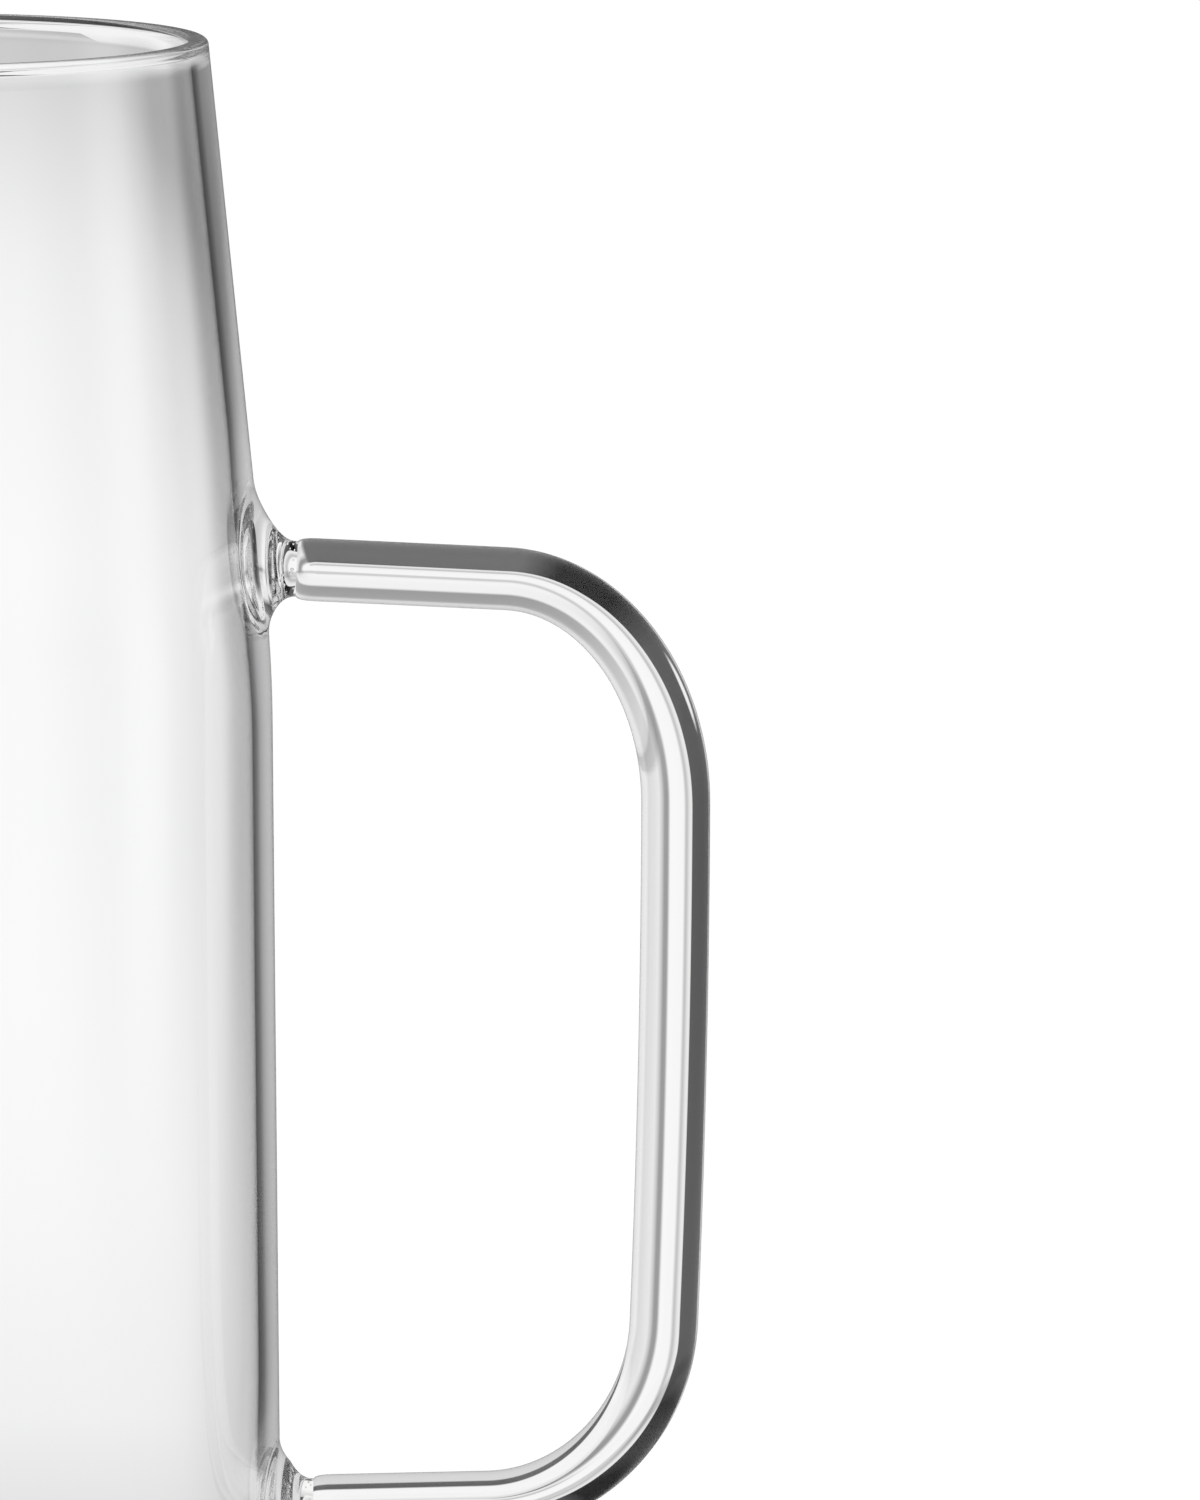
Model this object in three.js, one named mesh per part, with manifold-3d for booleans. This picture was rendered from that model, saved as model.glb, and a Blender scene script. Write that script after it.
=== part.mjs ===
import * as THREE from 'three';
import { mergeVertices } from 'three/addons/utils/BufferGeometryUtils.js';
import Module from 'manifold-3d';

// A clear glass pitcher, in millimetres, +Z up. It stands on z = 0 with the vessel's axis on Z,
// the handle on the +X side and the pouring spout on the -X side.

// Vessel: a nearly straight lower wall, a rounded shoulder and a cone up to the rim
const HEIGHT = 232;
const RIM_RADIUS = 41.2;
const SHOULDER_RADIUS = 49.3;
const SHOULDER_HEIGHT = 149;
const SHOULDER_BLEND = 16;
const FOOT_RADIUS = 50.1;
const WALL = 2.6;
const BASE_THICKNESS = 4;
const HEEL_ROUND = 9;
const INNER_HEEL_ROUND = 7;

// Pouring spout, pulled out of the hot rim opposite the handle
const SPOUT_REACH = 10;
const SPOUT_DEPTH = 32;
const SPOUT_DIP = 1.5;
const SPOUT_HALF_ANGLE = THREE.MathUtils.degToRad(40);

// Handle: a solid rod bent to a D, thicker on the grip than on the arms
const UPPER_ARM_HEIGHT = 161.3;
const UPPER_ARM_FALL = THREE.MathUtils.degToRad(2.7);
const LOWER_ARM_HEIGHT = 33.85;
const LOWER_ARM_RISE = THREE.MathUtils.degToRad(1.3);
const FINGER_ROOM = 48.3;
const GRIP_LEAN = THREE.MathUtils.degToRad(1.24);
const UPPER_BEND_RUN = 23.3;
const UPPER_BEND_DROP = 29.2;
const LOWER_BEND_RUN = 23.2;
const LOWER_BEND_RISE = 24.3;
const ARM_RADIUS = 4.2;
const GRIP_RADIUS = 4.6;
const ROD_END_ROUND = 1.3;

// Welds: the wall swells inwards and rises to a flat seat, and a tapered bead runs from the seat to the rod
const SEAT_RADIUS = 6;
const SEAT_PROUD = 1.4;
const NECK_RADIUS = 3.7;
const BEAD_LENGTH = 3.2;
const BEAD_HOLLOW = 1.3;
const UPPER_FILLET_ABOVE = 6;
const UPPER_FILLET_BELOW = 3.4;
const LOWER_FILLET = 3.2;
const SWELL_RADIUS = 9;
const SWELL_DEPTH = 1.2;

// Facets
const BODY_SIDES = 64;
const ROD_SIDES = 20;
const ARC_STEPS = 6;
const WALL_STEPS = 6;
const LIP_STEPS = 8;
const BEND_STEPS = 14;
const GRIP_STEPS = 4;
const WELD_STEPS = 5;

const GLASS = { color: 0xe9efee, roughness: 0.03, metalness: 0, transparent: true, opacity: 0.35 };
const QUARTER_ARC = 0.5523; // handle length of a Bezier curve that follows a quarter of an ellipse
const MERGE_DISTANCE = 1e-4;
const wasm = await Module();
wasm.setup();

const smoothstep = (t) => THREE.MathUtils.smoothstep(t, 0, 1);

/** Outside radius of the wall at a height, without its heel and lip. */
function wallRadius(z) {
  const lowerSlope = (SHOULDER_RADIUS - FOOT_RADIUS) / SHOULDER_HEIGHT;
  const coneSlope = (RIM_RADIUS - SHOULDER_RADIUS) / (HEIGHT - SHOULDER_HEIGHT);
  const intoBlend = z - (SHOULDER_HEIGHT - SHOULDER_BLEND / 2);
  let turned = z - SHOULDER_HEIGHT;
  if (intoBlend <= 0) turned = 0;
  else if (intoBlend < SHOULDER_BLEND) turned = intoBlend ** 2 / (2 * SHOULDER_BLEND);
  return FOOT_RADIUS + lowerSlope * z + (coneSlope - lowerSlope) * turned;
}

/** Points of a circular arc in the revolved profile, between two angles. */
function arcPoints(centreRadius, centreHeight, radius, fromAngle, toAngle, steps) {
  const arc = new THREE.EllipseCurve(
    centreRadius, centreHeight, radius, radius, fromAngle, toAngle, toAngle < fromAngle);
  return arc.getPoints(steps);
}

/** Heights at which the wall's profile has a point, from the bottom up. */
function wallHeights(bottom, top) {
  const blendBottom = SHOULDER_HEIGHT - SHOULDER_BLEND / 2;
  const spoutBottom = HEIGHT - SPOUT_DEPTH;
  const heights = [];
  for (let i = 0; i <= WALL_STEPS; i += 1) heights.push(blendBottom + (SHOULDER_BLEND * i) / WALL_STEPS);
  for (let i = 0; i < WALL_STEPS; i += 1) heights.push(spoutBottom + ((top - spoutBottom) * i) / WALL_STEPS);
  return heights.filter((z) => z > bottom && z < top).sort((a, b) => a - b);
}

/** Draws the hot rim out to a spout: a point near the rim on the -X side moves out and a little down. */
function pullSpout(point) {
  const across = Math.atan2(point.y, -point.x) / SPOUT_HALF_ANGLE;
  const up = (point.z - (HEIGHT - SPOUT_DEPTH)) / SPOUT_DEPTH;
  if (Math.abs(across) >= 1 || up <= 0 || point.x > 0) return;
  const pull = Math.cos((across * Math.PI) / 2) ** 2 * Math.min(up, 1) ** 2;
  point.x -= SPOUT_REACH * pull;
  point.z -= SPOUT_DIP * pull;
}

/** The blown shell: one closed profile turned about the axis, then pulled at the rim. */
function blownShell() {
  const lip = WALL / 2;
  const lipHeight = HEIGHT - lip;
  const innerHeelHeight = BASE_THICKNESS + INNER_HEEL_ROUND;
  const outerHeelRadius = wallRadius(HEEL_ROUND) - HEEL_ROUND;
  const innerHeelRadius = wallRadius(innerHeelHeight) - WALL - INNER_HEEL_ROUND;
  const outer = wallHeights(HEEL_ROUND, lipHeight).map((z) => new THREE.Vector2(wallRadius(z), z));
  const inner = wallHeights(innerHeelHeight, lipHeight).map((z) => new THREE.Vector2(wallRadius(z) - WALL, z));
  const profile = [
    new THREE.Vector2(0, 0),
    ...arcPoints(outerHeelRadius, HEEL_ROUND, HEEL_ROUND, -Math.PI / 2, 0, ARC_STEPS),
    ...outer,
    ...arcPoints(wallRadius(lipHeight) - lip, lipHeight, lip, 0, Math.PI, LIP_STEPS),
    ...inner.reverse(),
    ...arcPoints(innerHeelRadius, innerHeelHeight, INNER_HEEL_ROUND, 0, -Math.PI / 2, ARC_STEPS),
    new THREE.Vector2(0, BASE_THICKNESS),
  ];
  const shell = new THREE.LatheGeometry(profile, BODY_SIDES);
  shell.rotateX(Math.PI / 2);
  const position = shell.attributes.position;
  const point = new THREE.Vector3();
  for (let i = 0; i < position.count; i += 1) {
    point.fromBufferAttribute(position, i);
    pullSpout(point);
    position.setXYZ(i, point.x, point.y, point.z);
  }
  return shell;
}

/** A ring of points about a centre, square to a direction in the handle's plane. */
function ringAround(centre, along, radius) {
  const side = new THREE.Vector3(0, 1, 0);
  const up = new THREE.Vector3().crossVectors(along, side);
  const ring = [];
  for (let i = 0; i < ROD_SIDES; i += 1) {
    const angle = (2 * Math.PI * i) / ROD_SIDES;
    const point = centre.clone();
    point.addScaledVector(up, radius * Math.cos(angle));
    point.addScaledVector(side, radius * Math.sin(angle));
    ring.push(point);
  }
  return ring;
}

/** A closed skin over a row of rings, with a flat fan over the first ring and the last. */
function loft(rings) {
  const sides = rings[0].length;
  const middle = (ring) => ring.reduce((sum, p) => sum.add(p), new THREE.Vector3()).divideScalar(sides);
  const points = [...rings.flat(), middle(rings[0]), middle(rings.at(-1))];
  const first = points.length - 2;
  const last = points.length - 1;
  const faces = [];
  for (let i = 0; i < sides; i += 1) {
    const next = (i + 1) % sides;
    for (let r = 0; r + 1 < rings.length; r += 1) {
      const low = r * sides;
      const high = low + sides;
      faces.push(low + i, high + i, high + next, low + i, high + next, low + next);
    }
    const end = (rings.length - 1) * sides;
    faces.push(first, i, next, last, end + next, end + i);
  }
  const geometry = new THREE.BufferGeometry().setFromPoints(points);
  geometry.setIndex(faces);
  return geometry;
}

/** The flat seat that a weld's bead stands on: a ring proud of the wall, at an arm's height. */
function seatCentre(armHeight) {
  return new THREE.Vector3(wallRadius(armHeight) + SEAT_PROUD, 0, armHeight);
}

/** The swollen wall under a weld: a lens inside, the wall's own thickness, and a fillet up to the seat. */
function weldBoss(armHeight, filletAbove, filletBelow) {
  const fuse = WALL / 5; // how deep the swelling's edges lie inside the wall
  const seat = seatCentre(armHeight);
  const outward = new THREE.Vector3(1, 0, 0);
  const onWall = (point, inset) => {
    const radius = wallRadius(point.z) - inset;
    return Math.sqrt(radius ** 2 - point.y ** 2);
  };
  const rings = [];
  for (let i = 1; i <= WELD_STEPS; i += 1) {
    const share = i / WELD_STEPS;
    const ring = ringAround(seat, outward, SWELL_RADIUS * share);
    const rise = SWELL_DEPTH * (1 - share ** 2) ** 2 - fuse * share ** 2;
    ring.forEach((point) => { point.x = onWall(point, WALL) - rise; });
    rings.push(ring);
  }
  for (let i = 0; i <= WELD_STEPS; i += 1) {
    const share = 1 - i / WELD_STEPS;
    const ring = ringAround(seat, outward, 1);
    ring.forEach((point) => {
      const rise = point.z - seat.z;
      const fillet = THREE.MathUtils.lerp(filletBelow, filletAbove, (rise + 1) / 2);
      const radius = SEAT_RADIUS + fillet * share;
      point.set(seat.x, point.y * radius, seat.z + rise * radius);
      const foot = onWall(point, fuse * share);
      point.x = THREE.MathUtils.lerp(foot, seat.x, (1 - share) ** 2);
    });
    rings.push(ring);
  }
  return loft(rings);
}

/** A unit vector in the handle's plane, from its share along X and along Z. */
const inPlane = (x, z) => new THREE.Vector3(x, 0, z).normalize();

/** Where two lines in the handle's plane cross. */
function crossing(pointA, alongA, pointB, alongB) {
  const cross = (a, b) => a.x * b.z - a.z * b.x;
  const gap = pointB.clone().sub(pointA);
  return pointA.clone().addScaledVector(alongA, cross(gap, alongB) / cross(alongA, alongB));
}

/** A bend from one straight run to the next, a quarter of an ellipse about their crossing. */
function bend(corner, along, before, onward, after) {
  const start = corner.clone().addScaledVector(along, -before);
  const end = corner.clone().addScaledVector(onward, after);
  return new THREE.CubicBezierCurve3(
    start,
    start.clone().addScaledVector(along, before * QUARTER_ARC),
    end.clone().addScaledVector(onward, -after * QUARTER_ARC),
    end);
}

const upperSeat = seatCentre(UPPER_ARM_HEIGHT);
const lowerSeat = seatCentre(LOWER_ARM_HEIGHT);
const upperNeck = upperSeat.clone().setX(upperSeat.x + BEAD_LENGTH);
const lowerNeck = lowerSeat.clone().setX(lowerSeat.x + BEAD_LENGTH);
const upperArmAlong = inPlane(Math.cos(UPPER_ARM_FALL), -Math.sin(UPPER_ARM_FALL));
const gripAlong = inPlane(-Math.sin(GRIP_LEAN), -Math.cos(GRIP_LEAN));
const lowerArmAlong = inPlane(-Math.cos(LOWER_ARM_RISE), -Math.sin(LOWER_ARM_RISE));

/** The rings of the bent rod, from its upper end to its lower end. */
function rodRings() {
  const middleHeight = (UPPER_ARM_HEIGHT + LOWER_ARM_HEIGHT) / 2;
  const gripMiddle = new THREE.Vector3(
    wallRadius(middleHeight) + FINGER_ROOM + GRIP_RADIUS, 0, middleHeight);
  const upperCorner = crossing(upperNeck, upperArmAlong, gripMiddle, gripAlong);
  const lowerCorner = crossing(lowerNeck, lowerArmAlong, gripMiddle, gripAlong);
  const upperBend = bend(upperCorner, upperArmAlong, UPPER_BEND_RUN, gripAlong, UPPER_BEND_DROP);
  const lowerBend = bend(lowerCorner, gripAlong, LOWER_BEND_RISE, lowerArmAlong, LOWER_BEND_RUN);
  const rings = [];
  const endShares = [0, 0.12, 0.35, 0.65, 1];
  const endRadius = (share) => THREE.MathUtils.lerp(
    NECK_RADIUS, ARM_RADIUS, Math.sqrt(1 - (1 - share) ** 2));
  for (const share of endShares) {
    const centre = upperNeck.clone().addScaledVector(upperArmAlong, ROD_END_ROUND * share);
    rings.push(ringAround(centre, upperArmAlong, endRadius(share)));
  }
  for (let i = 0; i <= BEND_STEPS; i += 1) {
    const t = i / BEND_STEPS;
    const radius = THREE.MathUtils.lerp(ARM_RADIUS, GRIP_RADIUS, smoothstep(t));
    rings.push(ringAround(upperBend.getPoint(t), upperBend.getTangent(t), radius));
  }
  const grip = new THREE.LineCurve3(upperBend.v3, lowerBend.v0);
  for (let i = 1; i < GRIP_STEPS; i += 1) {
    rings.push(ringAround(grip.getPoint(i / GRIP_STEPS), gripAlong, GRIP_RADIUS));
  }
  for (let i = 0; i <= BEND_STEPS; i += 1) {
    const t = i / BEND_STEPS;
    const radius = THREE.MathUtils.lerp(GRIP_RADIUS, ARM_RADIUS, smoothstep(t));
    rings.push(ringAround(lowerBend.getPoint(t), lowerBend.getTangent(t), radius));
  }
  for (const share of endShares.toReversed()) {
    const centre = lowerNeck.clone().addScaledVector(lowerArmAlong, -ROD_END_ROUND * share);
    rings.push(ringAround(centre, lowerArmAlong, endRadius(share)));
  }
  return rings;
}

/** Rings of a weld's bead, from the rod's end ring to the seat's ring, hollowed like a cooled drop. */
function beadRings(neckRing, neck, seatRing, seat) {
  const rings = [];
  for (let i = 0; i <= WELD_STEPS; i += 1) {
    const share = i / WELD_STEPS;
    const swell = share ** BEAD_HOLLOW;
    const centre = neck.clone().lerp(seat, share);
    rings.push(neckRing.map((point, side) => {
      const atNeck = point.clone().sub(neck);
      const atSeat = seatRing[side].clone().sub(seat);
      return atNeck.lerp(atSeat, swell).add(centre);
    }));
  }
  return rings;
}

/** A closed solid for joining, from a geometry whose faces share their vertices. */
function solidOf(geometry) {
  geometry.deleteAttribute('normal');
  geometry.deleteAttribute('uv');
  const merged = mergeVertices(geometry, MERGE_DISTANCE);
  const corners = merged.index.array;
  const triangles = [];
  for (let i = 0; i < corners.length; i += 3) {
    const [a, b, c] = corners.subarray(i, i + 3);
    if (a !== b && b !== c && c !== a) triangles.push(a, b, c);
  }
  return new wasm.Manifold(new wasm.Mesh({
    numProp: 3,
    vertProperties: merged.attributes.position.array,
    triVerts: Uint32Array.from(triangles),
  }));
}

/** A geometry from a joined solid. */
function geometryOf(solid) {
  const { vertProperties, triVerts } = solid.getMesh();
  const geometry = new THREE.BufferGeometry();
  geometry.setAttribute('position', new THREE.BufferAttribute(vertProperties, 3));
  geometry.setIndex(new THREE.BufferAttribute(triVerts, 1));
  return geometry;
}

/** A named piece of clear glass. */
function glassPiece(name, geometry) {
  geometry.computeVertexNormals();
  const piece = new THREE.Mesh(geometry, new THREE.MeshStandardMaterial(GLASS));
  piece.name = name;
  return piece;
}

const shell = solidOf(blownShell());
const upperBoss = solidOf(weldBoss(UPPER_ARM_HEIGHT, UPPER_FILLET_ABOVE, UPPER_FILLET_BELOW));
const lowerBoss = solidOf(weldBoss(LOWER_ARM_HEIGHT, LOWER_FILLET, LOWER_FILLET));
const vessel = geometryOf(shell.add(upperBoss).add(lowerBoss));

const rod = rodRings();
const upperSeatRing = ringAround(upperSeat, new THREE.Vector3(1, 0, 0), SEAT_RADIUS);
const lowerSeatRing = ringAround(lowerSeat, new THREE.Vector3(-1, 0, 0), SEAT_RADIUS);
const upperBead = beadRings(rod[0], upperNeck, upperSeatRing, upperSeat).reverse();
const lowerBead = beadRings(rod.at(-1), lowerNeck, lowerSeatRing, lowerSeat);

const pitcher = new THREE.Group();
pitcher.add(
  glassPiece('vessel', vessel),
  glassPiece('upper_weld', loft(upperBead)),
  glassPiece('lower_weld', loft(lowerBead)),
  glassPiece('handle', loft(rod)));

export default pitcher;
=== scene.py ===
"""A clear glass pitcher: a blown vessel, a bent glass rod as its handle, and the two welds between them.
Metres, +Z up. The handle is on the +X side and the spout on the -X side."""
import math

import bmesh
import bpy
import numpy as np
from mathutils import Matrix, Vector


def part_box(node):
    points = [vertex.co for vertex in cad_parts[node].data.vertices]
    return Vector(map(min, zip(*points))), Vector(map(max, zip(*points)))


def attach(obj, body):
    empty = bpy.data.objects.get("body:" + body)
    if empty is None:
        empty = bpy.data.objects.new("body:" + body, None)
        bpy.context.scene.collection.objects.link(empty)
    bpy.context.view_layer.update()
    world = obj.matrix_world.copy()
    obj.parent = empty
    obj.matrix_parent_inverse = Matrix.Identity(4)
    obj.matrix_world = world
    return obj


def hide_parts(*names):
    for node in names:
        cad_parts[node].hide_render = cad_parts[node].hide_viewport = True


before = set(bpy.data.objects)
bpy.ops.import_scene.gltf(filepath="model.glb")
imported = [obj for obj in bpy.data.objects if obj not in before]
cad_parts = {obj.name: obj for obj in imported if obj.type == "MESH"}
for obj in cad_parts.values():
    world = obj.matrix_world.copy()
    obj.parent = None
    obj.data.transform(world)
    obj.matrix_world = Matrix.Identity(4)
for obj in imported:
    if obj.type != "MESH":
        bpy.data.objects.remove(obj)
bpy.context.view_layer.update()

# The vessel: clear glass, blown into a mould. Its rim is cut and softened in the flame, so that the glass
# gathers a little inwards, and the spout is pulled out of it, on the side away from the handle.
# At each weld the hot wall is drawn out to a low boss, and it swells inwards behind the boss.
MM = 0.001
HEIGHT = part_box("vessel")[1].z
RIM_RADIUS = 41.2 * MM
SHOULDER_RADIUS = 49.3 * MM
SHOULDER_HEIGHT = 149 * MM
SHOULDER_BLEND = 16 * MM
FOOT_RADIUS = 50.1 * MM
WALL = 2.6 * MM
LIP_ROUND = 0.9 * MM
RIM_BEAD = 0.3 * MM
RIM_BEAD_DEPTH = 2 * MM
BASE_THICKNESS = 4 * MM
HEEL_ROUND = 9 * MM
INNER_HEEL_ROUND = 7 * MM
UPPER_ARM_HEIGHT = 161.3 * MM
LOWER_ARM_HEIGHT = 33.85 * MM
SEAT_RADIUS = 6 * MM
SEAT_PROUD = 1.4 * MM
UPPER_FILLET_ABOVE = 6 * MM
UPPER_FILLET_BELOW = 3.4 * MM
LOWER_FILLET = 3.2 * MM
SWELL_RADIUS = 9 * MM
SWELL_DEPTH = 0.2 * MM
SOFTENED_RADIUS = 22 * MM
SOFTENED_DEPTH = 0.12 * MM
SPOUT = {
    "Rim height": HEIGHT,
    "Reach": 10 * MM,
    "Depth": 32 * MM,
    "Dip": 1.5 * MM,
    "Half angle": math.radians(40),
}
BLOWN_TINT = (0.985, 0.99, 0.99)
BLOWN_WAVE_LENGTH = 16 * MM
BLOWN_WAVE_HEIGHT = 0.002 * MM
# The wall's mesh is rings of points, with a square patch at each weld where the rings run round the weld.
# The steps between the rings go upwards: below the lower weld, at it, above it, at the shoulder,
# at the upper weld, above it, and at the rim.
RING_STEPS = (2 * MM, 1.05 * MM, 3 * MM, 1.2 * MM, 1.05 * MM, 1.8 * MM, 0.3 * MM)
PATCH_HALF_ANGLE = math.radians(16.5)
PATCH_BELOW = 10.5 * MM
PATCH_ABOVE = 13.5 * MM
PATCH_COLUMNS = 25
OTHER_COLUMNS = 165
PATCH_EDGE_RINGS = 9
SWELL_RINGS = 17
FILLET_RINGS = 21
LIP_RINGS = 26
HEEL_RINGS = 15
FLAT_SHARES = (0.75, 0.5, 0.25)
FUSED_WITHIN = 0.99
NEARLY_NOTHING = 1e-9


def wall_radius(z):
    """Outside radius of the wall at a height, without its heel and lip."""
    lower_slope = (SHOULDER_RADIUS - FOOT_RADIUS) / SHOULDER_HEIGHT
    cone_slope = (RIM_RADIUS - SHOULDER_RADIUS) / (HEIGHT - SHOULDER_HEIGHT)
    into = np.clip(z - (SHOULDER_HEIGHT - SHOULDER_BLEND / 2), 0, None)
    turned = np.where(into < SHOULDER_BLEND, into**2 / (2 * SHOULDER_BLEND), z - SHOULDER_HEIGHT)
    return FOOT_RADIUS + lower_slope * z + (cone_slope - lower_slope) * turned


def seat_x(arm_height):
    """Where the flat seat of a weld stands, out from the vessel's axis."""
    return float(wall_radius(arm_height)) + SEAT_PROUD


def fillet_width(rise, arm_height):
    """Width of the fillet round a seat, where rise goes from -1 below the seat to 1 above it."""
    if arm_height == LOWER_ARM_HEIGHT:
        return np.full_like(rise, LOWER_FILLET)
    return UPPER_FILLET_BELOW + (UPPER_FILLET_ABOVE - UPPER_FILLET_BELOW) * (rise + 1) / 2


def outer_wall_x(y, z, arm_height):
    """The outside near a weld: the round wall, the fillet that climbs to the seat, and the seat."""
    radius = np.hypot(y, z - arm_height)
    rise = (z - arm_height) / np.maximum(radius, NEARLY_NOTHING)
    share = np.clip((radius - SEAT_RADIUS) / fillet_width(rise, arm_height), 0, 1)
    wall = np.sqrt(wall_radius(z) ** 2 - y**2)
    return wall + (seat_x(arm_height) - wall) * (1 - share) ** 2


def swelling(y, z):
    """How far the inside stands inwards behind the welds: a lens of glass in a wider softened patch."""
    inwards = 0
    for arm_height in (UPPER_ARM_HEIGHT, LOWER_ARM_HEIGHT):
        radius = np.hypot(y, z - arm_height)
        for reach, depth in ((SWELL_RADIUS, SWELL_DEPTH), (SOFTENED_RADIUS, SOFTENED_DEPTH)):
            inwards = inwards + depth * np.clip(1 - (radius / reach) ** 2, 0, 1) ** 2
    return inwards


def inner_wall_x(y, z):
    """The inside near a weld."""
    return np.sqrt((wall_radius(z) - WALL) ** 2 - y**2) - swelling(y, z)


def gathered(z):
    """How far the glass has gathered inwards at the rim, where the flame softened it."""
    share = np.clip((z - (HEIGHT - RIM_BEAD_DEPTH)) / (RIM_BEAD_DEPTH - LIP_ROUND), 0, 1)
    return RIM_BEAD * share**2 * (3 - 2 * share)


class Skin:
    """The points and faces of one closed mesh. A fused face lies against another piece in the weld."""

    def __init__(self):
        self.points = np.empty((0, 3))
        self.faces = []
        self.fused = []

    def add_points(self, points):
        """New points. Returns their numbers."""
        start = len(self.points)
        self.points = np.concatenate([self.points, np.reshape(points, (-1, 3))])
        return np.arange(start, len(self.points))

    def add_face(self, corners, fused=False):
        """One face, by the numbers of its points."""
        self.faces.append([int(c) for c in corners])
        self.fused.append(bool(fused))

    def add_strip(self, ring, following, fused=False):
        """Quads between two closed rings of as many points. Returns the second ring."""
        for i in range(len(ring)):
            j = (i + 1) % len(ring)
            self.add_face((ring[i], ring[j], following[j], following[i]), fused)
        return following

    def add_fan(self, ring, middle, fused=False):
        """Triangles from a closed ring to one point."""
        centre = self.add_points([middle])[0]
        for i in range(len(ring)):
            self.add_face((ring[i], ring[(i + 1) % len(ring)], centre), fused)

    def make(self, name):
        """A mesh object with smooth faces, and sharp edges where its fused faces end."""
        mesh = bpy.data.meshes.new(name)
        mesh.from_pydata(self.points.tolist(), [], self.faces)
        shape = bmesh.new()
        shape.from_mesh(mesh)
        for face, fused in zip(shape.faces, self.fused):
            face.smooth = True
            face.material_index = int(fused)
        for edge in shape.edges:
            edge.smooth = len({face.material_index for face in edge.link_faces}) == 1
        shape.to_mesh(mesh)
        shape.free()
        mesh.attributes.new("fused", "BOOLEAN", "FACE").data.foreach_set("value", self.fused)
        piece = bpy.data.objects.new(name, mesh)
        bpy.context.collection.objects.link(piece)
        return piece


patch_angles = np.linspace(-PATCH_HALF_ANGLE, PATCH_HALF_ANGLE, PATCH_COLUMNS)
other_angles = np.linspace(PATCH_HALF_ANGLE, 2 * math.pi - PATCH_HALF_ANGLE, OTHER_COLUMNS)[1:-1]
angles = np.concatenate([patch_angles, other_angles])
patch_heights = {
    LOWER_ARM_HEIGHT: (LOWER_ARM_HEIGHT - PATCH_BELOW, LOWER_ARM_HEIGHT + PATCH_BELOW),
    UPPER_ARM_HEIGHT: (UPPER_ARM_HEIGHT - PATCH_BELOW, UPPER_ARM_HEIGHT + PATCH_ABOVE),
}


def wall_heights(bottom):
    """Heights of the wall's rings, closer together at the welds, the shoulder and the rim."""
    shoulder = SHOULDER_HEIGHT - SHOULDER_BLEND / 2
    rim = (HEIGHT - RIM_BEAD_DEPTH, HEIGHT - LIP_ROUND)
    stops = [bottom, *patch_heights[LOWER_ARM_HEIGHT], shoulder, *patch_heights[UPPER_ARM_HEIGHT], *rim]
    stretches = [
        np.linspace(low, high, int(round((high - low) / step)) + 1)[:-1]
        for low, high, step in zip(stops, stops[1:], RING_STEPS)]
    return np.concatenate([*stretches, stops[-1:]])


def ring_at(radius, z):
    """Points all round the vessel's axis."""
    return np.stack([radius * np.cos(angles), radius * np.sin(angles), np.full(len(angles), z)], 1)


def add_patch(skin, edge, arm_height, inside):
    """Rings from the square edge of a patch to its middle, which is flat and fused on the outside."""
    border = skin.points[edge][:, 1:] - (0, arm_height)
    reach = np.hypot(*border.T)
    outwards = border / reach[:, None]

    def wall_x(y, z):
        """This side of the wall, out from the vessel's axis."""
        return inner_wall_x(y, z) if inside else outer_wall_x(y, z, arm_height)

    if inside:
        round_edge = np.full(len(edge), SWELL_RADIUS)
        rounds = [round_edge * share for share in np.linspace(1, 0, SWELL_RINGS)[1:-1]]
    else:
        fillet = fillet_width(outwards[:, 1], arm_height)
        round_edge = SEAT_RADIUS + fillet
        rounds = [SEAT_RADIUS + fillet * share for share in np.linspace(1, 0, FILLET_RINGS)[1:]]
        rounds += [np.full(len(edge), SEAT_RADIUS * share) for share in FLAT_SHARES]
    squares = [reach + (round_edge - reach) * share for share in np.linspace(0, 1, PATCH_EDGE_RINGS)[1:]]
    ring = edge
    for radius in squares + rounds:
        y = radius * outwards[:, 0]
        z = radius * outwards[:, 1] + arm_height
        following = skin.add_points(np.stack([wall_x(y, z), y, z], 1))
        if inside:
            skin.add_strip(following, ring)
        else:
            skin.add_strip(ring, following, radius.max() < SEAT_RADIUS * FUSED_WITHIN)
        ring = following
    skin.add_fan(ring[::-1] if inside else ring, (wall_x(0, arm_height), 0, arm_height), not inside)


def add_wall(skin, bottom, inside):
    """One side of the wall in rings, with a round patch let in at each weld. Returns its end rings."""
    heights = wall_heights(bottom)
    rings = []
    for z in heights:
        inset = WALL + gathered(z) if inside else 0
        points = ring_at(float(wall_radius(z) - inset), z)
        if inside:
            points[:, 0] -= np.where(points[:, 0] > 0, swelling(points[:, 1], z), 0)
        rings.append(skin.add_points(points))
    last = len(patch_angles) - 1
    rows = {
        arm_height: [int(np.argmin(np.abs(heights - z))) for z in ends]
        for arm_height, ends in patch_heights.items()}
    for row, (ring, following) in enumerate(zip(rings, rings[1:])):
        open_here = any(low <= row < high for low, high in rows.values())
        for i in range(last if open_here else 0, len(angles)):
            j = (i + 1) % len(angles)
            corners = (ring[i], ring[j], following[j], following[i])
            skin.add_face(corners[::-1] if inside else corners)
    for arm_height, (low, high) in rows.items():
        edge = [*rings[low][:last], *(rings[r][last] for r in range(low, high))]
        edge += [*rings[high][last:0:-1], *(rings[r][0] for r in range(high, low, -1))]
        add_patch(skin, edge, arm_height, inside)
    return rings[0], rings[-1]


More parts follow.
